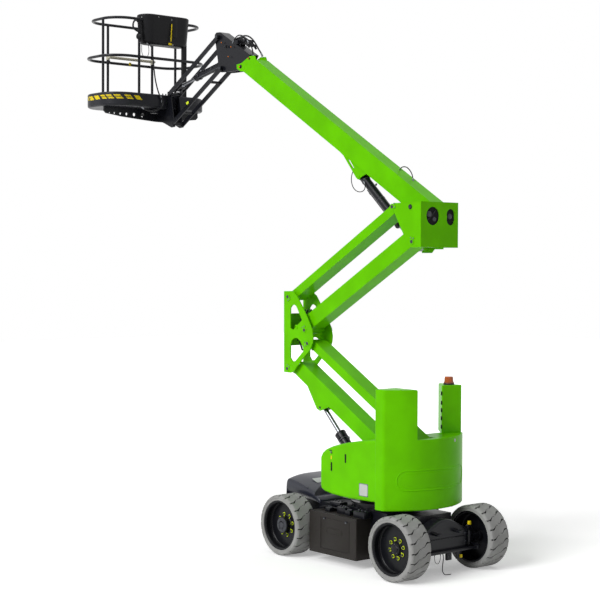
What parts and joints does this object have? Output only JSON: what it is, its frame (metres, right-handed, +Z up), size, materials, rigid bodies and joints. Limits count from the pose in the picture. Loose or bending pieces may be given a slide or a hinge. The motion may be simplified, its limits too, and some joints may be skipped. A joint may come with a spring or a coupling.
{
  "type": "articulating boom lift",
  "caption": "Self-propelled articulating boom lift with a narrow wheeled chassis, stacked parallelogram risers, main boom, level jib linkage and work cage.",
  "frame": {"origin": "ground level under the middle of the whole machine's bounding box, risers and boom as modelled", "axes": "+X forward towards the cage, +Y to the machine's left, +Z up"},
  "size_m": [6.5019, 1.6499, 6.7279],
  "materials": {
    "green_paint": "gloss lime-green paint",
    "black_paint": "satin black paint",
    "dark_rim": "satin dark grey paint",
    "tyre_rubber": "light grey non-marking rubber",
    "amber_lens": "amber beacon lens",
    "chrome_rod": "polished hard chrome",
    "cream_plastic": "pale grip tube",
    "black_plastic": "moulded black plastic"
  },
  "bodies": {
    "chassis": {"chassis_frame": "black_paint", "front_hood": "black_plastic", "side_boxes": "black_plastic", "slew_ring": "black_paint", "front_axle": "black_paint", "rear_axle": "black_paint"},
    "turntable": {"turntable_frame": "black_paint", "counterweight": "green_paint", "right_tower": "green_paint", "canopy_left": "green_paint", "canopy_right": "green_paint", "beacon": "amber_lens"},
    "knuckle_left": {"steer_knuckle_left": "black_paint"},
    "knuckle_right": {"steer_knuckle_right": "black_paint"},
    "tie_rod": {"tie_rod": "black_paint"},
    "wheel_front_left": {"tyre_front_left": "tyre_rubber", "rim_front_left": "dark_rim"},
    "wheel_front_right": {"tyre_front_right": "tyre_rubber", "rim_front_right": "dark_rim"},
    "wheel_rear_left": {"tyre_rear_left": "tyre_rubber", "rim_rear_left": "dark_rim"},
    "wheel_rear_right": {"tyre_rear_right": "tyre_rubber", "rim_rear_right": "dark_rim"},
    "lower_arm": {"lower_arm": "green_paint"},
    "lower_tie": {"lower_tie": "green_paint"},
    "middle_knuckle": {"middle_knuckle": "green_paint"},
    "upper_arm": {"upper_arm": "green_paint"},
    "upper_tie": {"upper_tie": "green_paint"},
    "upper_knuckle": {"upper_knuckle": "green_paint"},
    "main_boom": {"main_boom": "green_paint"},
    "boom_head": {"boom_head": "black_paint"},
    "jib_upper_link": {"jib_upper_link": "black_paint"},
    "jib_lower_link": {"jib_lower_link": "black_paint"},
    "cage": {"cage_foot": "black_paint", "cage_tray": "black_plastic", "cage_rails": "black_paint", "console": "black_plastic"},
    "drop_bar": {"drop_bar": "cream_plastic"},
    "lower_lift_barrel": {"lower_lift_barrel": "black_paint"},
    "lower_lift_rod": {"lower_lift_rod": "chrome_rod"},
    "boom_lift_barrel": {"boom_lift_barrel": "black_paint"},
    "boom_lift_rod": {"boom_lift_rod": "chrome_rod"},
    "jib_lift_barrel": {"jib_lift_barrel": "black_paint"},
    "jib_lift_rod": {"jib_lift_rod": "chrome_rod"}
  },
  "joints": [
    {"name": "slew", "type": "hinge", "parent": "chassis", "child": "turntable", "pos_m": [-2.049, 0, 0.665], "axis": [0, 0, 1], "range_deg": [-177.5, 177.5]},
    {"name": "wheel_front_left_spin", "type": "hinge", "parent": "chassis", "child": "wheel_front_left", "pos_m": [-1.039, 0.605, 0.352], "axis": [0, 1, 0], "continuous": true},
    {"name": "wheel_front_right_spin", "type": "hinge", "parent": "chassis", "child": "wheel_front_right", "pos_m": [-1.039, -0.605, 0.352], "axis": [0, 1, 0], "continuous": true},
    {"name": "wheel_rear_left_spin", "type": "hinge", "parent": "knuckle_left", "child": "wheel_rear_left", "pos_m": [-2.899, 0.605, 0.352], "axis": [0, 1, 0], "continuous": true},
    {"name": "wheel_rear_right_spin", "type": "hinge", "parent": "knuckle_right", "child": "wheel_rear_right", "pos_m": [-2.899, -0.605, 0.352], "axis": [0, 1, 0], "continuous": true},
    {"name": "steer_left", "type": "hinge", "parent": "chassis", "child": "knuckle_left", "pos_m": [-2.899, 0.452, 0.352], "axis": [0, 0, 1], "range_deg": [-35, 35]},
    {"name": "steer_right", "type": "hinge", "parent": "chassis", "child": "knuckle_right", "pos_m": [-2.899, -0.452, 0.352], "axis": [0, 0, 1], "range_deg": [-35, 35]},
    {"name": "tie_rod_pivot", "type": "hinge", "parent": "knuckle_left", "child": "tie_rod", "pos_m": [-3.039, 0.452, 0.262], "axis": [0, 0, -1], "range_deg": [-35, 35]},
    {"name": "riser", "type": "hinge", "parent": "turntable", "child": "lower_arm", "pos_m": [-2.42027, 0.131, 1.09626], "axis": [0, -1, 0], "range_deg": [-29.8, 35.2]},
    {"name": "lower_tie_pivot", "type": "hinge", "parent": "turntable", "child": "lower_tie", "pos_m": [-2.78727, 0.131, 1.41226], "axis": [0, -1, 0], "range_deg": [-29.8, 35.2]},
    {"name": "middle_knuckle_pivot", "type": "hinge", "parent": "lower_arm", "child": "middle_knuckle", "pos_m": [-0.624, 0.131, 2.125], "axis": [0, 1, 0], "range_deg": [-29.8, 35.2]},
    {"name": "upper_arm_pivot", "type": "hinge", "parent": "middle_knuckle", "child": "upper_arm", "pos_m": [-0.935, 0.131, 2.597], "axis": [0, 1, 0], "range_deg": [-29.8, 35.2]},
    {"name": "upper_tie_pivot", "type": "hinge", "parent": "middle_knuckle", "child": "upper_tie", "pos_m": [-0.624, 0.131, 2.982], "axis": [0, 1, 0], "range_deg": [-29.8, 35.2]},
    {"name": "upper_knuckle_pivot", "type": "hinge", "parent": "upper_arm", "child": "upper_knuckle", "pos_m": [-2.73127, 0.131, 3.62574], "axis": [0, -1, 0], "range_deg": [-29.8, 35.2]},
    {"name": "boom", "type": "hinge", "parent": "upper_knuckle", "child": "main_boom", "pos_m": [-2.704, -0.14, 4.003], "axis": [0, -1, 0], "range_deg": [-36, 39]},
    {"name": "head_level", "type": "hinge", "parent": "main_boom", "child": "boom_head", "pos_m": [0.746, -0.14, 5.88], "axis": [0, 1, 0], "range_deg": [-36, 39]},
    {"name": "jib", "type": "hinge", "parent": "boom_head", "child": "jib_upper_link", "pos_m": [1.243, -0.14, 6.308], "axis": [0, -1, 0], "range_deg": [-34.5, 75.5]},
    {"name": "jib_lower_pivot", "type": "hinge", "parent": "boom_head", "child": "jib_lower_link", "pos_m": [1.171, -0.14, 5.9], "axis": [0, -1, 0], "range_deg": [-34.5, 75.5]},
    {"name": "cage_level", "type": "hinge", "parent": "jib_upper_link", "child": "cage", "pos_m": [2.33727, -0.14, 5.66343], "axis": [0, 1, 0], "range_deg": [-34.5, 75.5]},
    {"name": "lower_lift_swing", "type": "hinge", "parent": "turntable", "child": "lower_lift_barrel", "pos_m": [-2.009, 0.131, 0.808], "axis": [0, -1, 0], "range_deg": [-31.92, 37.7]},
    {"name": "lower_lift_stroke", "type": "slide", "parent": "lower_lift_barrel", "child": "lower_lift_rod", "axis": [0.7103, 0, 0.7039], "range_m": [-0.2611, 0.3084]},
    {"name": "boom_lift_swing", "type": "hinge", "parent": "main_boom", "child": "boom_lift_barrel", "pos_m": [-1.475, -0.14, 4.394], "axis": [0, 1, 0], "range_deg": [-2.57, 2.78]},
    {"name": "boom_lift_stroke", "type": "slide", "parent": "boom_lift_barrel", "child": "boom_lift_rod", "axis": [-0.7415, 0, -0.6709], "range_m": [-0.3385, 0.3667]},
    {"name": "jib_lift_swing", "type": "hinge", "parent": "boom_head", "child": "jib_lift_barrel", "pos_m": [1.131, -0.14, 5.985], "axis": [0, -1, 0], "range_deg": [-30.97, 67.77]},
    {"name": "jib_lift_stroke", "type": "slide", "parent": "jib_lift_barrel", "child": "jib_lift_rod", "axis": [0.9793, 0, -0.2022], "range_m": [-0.177, 0.3872]},
    {"name": "drop_bar_slide", "type": "slide", "parent": "cage", "child": "drop_bar", "axis": [0, 0, 1], "range_m": [0, 0.35]}
  ],
  "couplings": [
    {"joint": "steer_right", "follows": "steer_left", "ratio": 1},
    {"joint": "tie_rod_pivot", "follows": "steer_left", "ratio": 1},
    {"joint": "lower_tie_pivot", "follows": "riser", "ratio": 1},
    {"joint": "middle_knuckle_pivot", "follows": "riser", "ratio": 1},
    {"joint": "upper_arm_pivot", "follows": "riser", "ratio": 1},
    {"joint": "upper_tie_pivot", "follows": "riser", "ratio": 1},
    {"joint": "upper_knuckle_pivot", "follows": "riser", "ratio": 1},
    {"joint": "head_level", "follows": "boom", "ratio": 1},
    {"joint": "jib_lower_pivot", "follows": "jib", "ratio": 1},
    {"joint": "cage_level", "follows": "jib", "ratio": 1},
    {"joint": "lower_lift_swing", "follows": "riser", "ratio": 1.05},
    {"joint": "lower_lift_stroke", "follows": "riser", "m_per_rad": 0.492},
    {"joint": "boom_lift_swing", "follows": "boom", "ratio": 0.07},
    {"joint": "boom_lift_stroke", "follows": "boom", "m_per_rad": 0.528},
    {"joint": "jib_lift_swing", "follows": "jib", "ratio": 0.88},
    {"joint": "jib_lift_stroke", "follows": "jib", "m_per_rad": 0.288}
  ]
}
